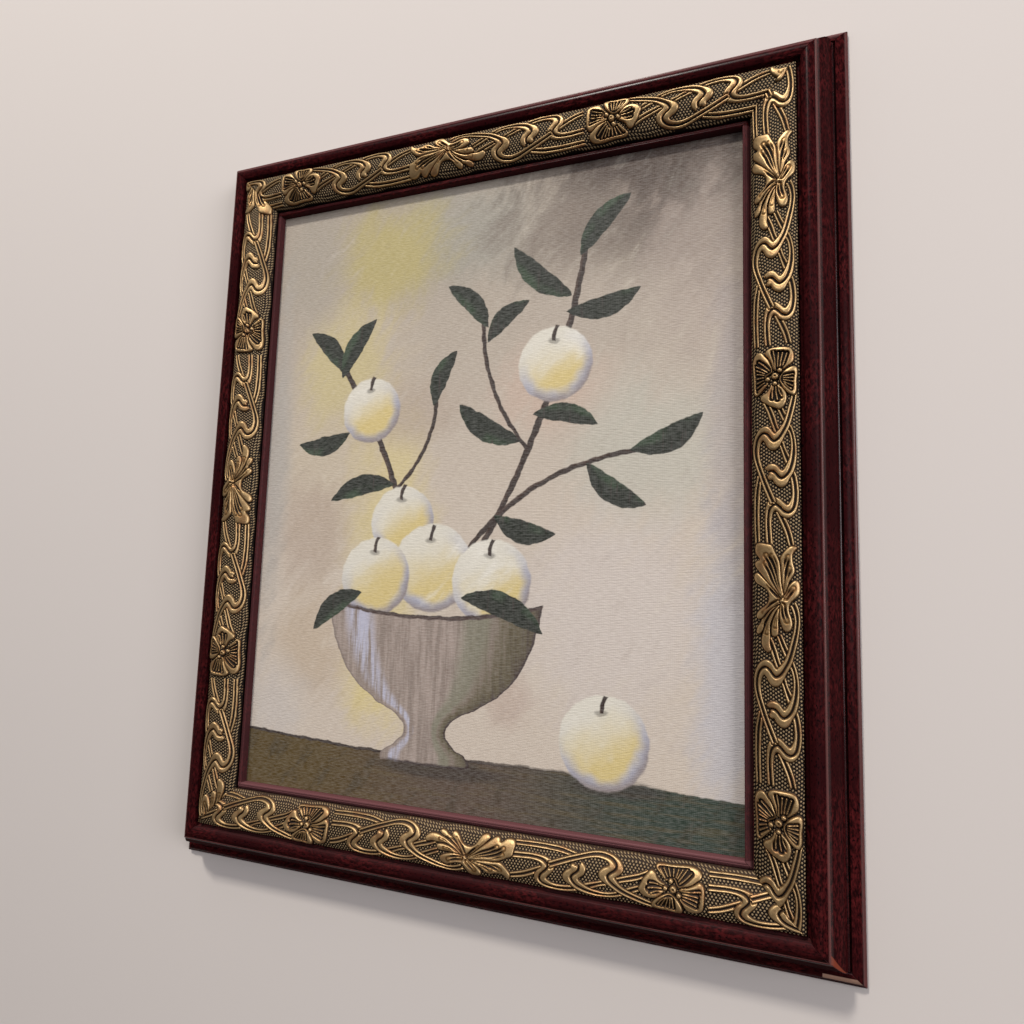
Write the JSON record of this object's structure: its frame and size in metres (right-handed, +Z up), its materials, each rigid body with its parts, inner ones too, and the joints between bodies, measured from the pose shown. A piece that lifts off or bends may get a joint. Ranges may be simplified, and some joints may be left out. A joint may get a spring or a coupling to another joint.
{
  "type": "framed painting",
  "caption": "Upright painted canvas on a stretcher in a mitred mahogany frame with a band of gilt flowers, leaves and ribbon interlace; hangs flat on a wall.",
  "frame": {"origin": "middle of the top rail's flat back face, where the picture is hung on the wall", "axes": "+Z up, the picture faces -Y, and the wall is the plane Y = 0; +X is to the right of someone looking at the picture"},
  "size_m": [0.532, 0.034, 0.6271],
  "materials": {
    "mahogany": "dark red-brown wood under a glossy lacquer",
    "antique_gold": "gilt rubbed back on the high places over a black-brown ground",
    "painted_canvas": "acrylic paint on woven canvas, satin to matt",
    "pine": "planed, unfinished"
  },
  "bodies": {
    "root": {"rail_top": "mahogany", "rail_bottom": "mahogany", "rail_left": "mahogany", "rail_right": "mahogany", "canvas": "painted_canvas", "stretcher_top": "pine", "stretcher_bottom": "pine", "stretcher_left": "pine", "stretcher_right": "pine"}
  },
  "joints": []
}
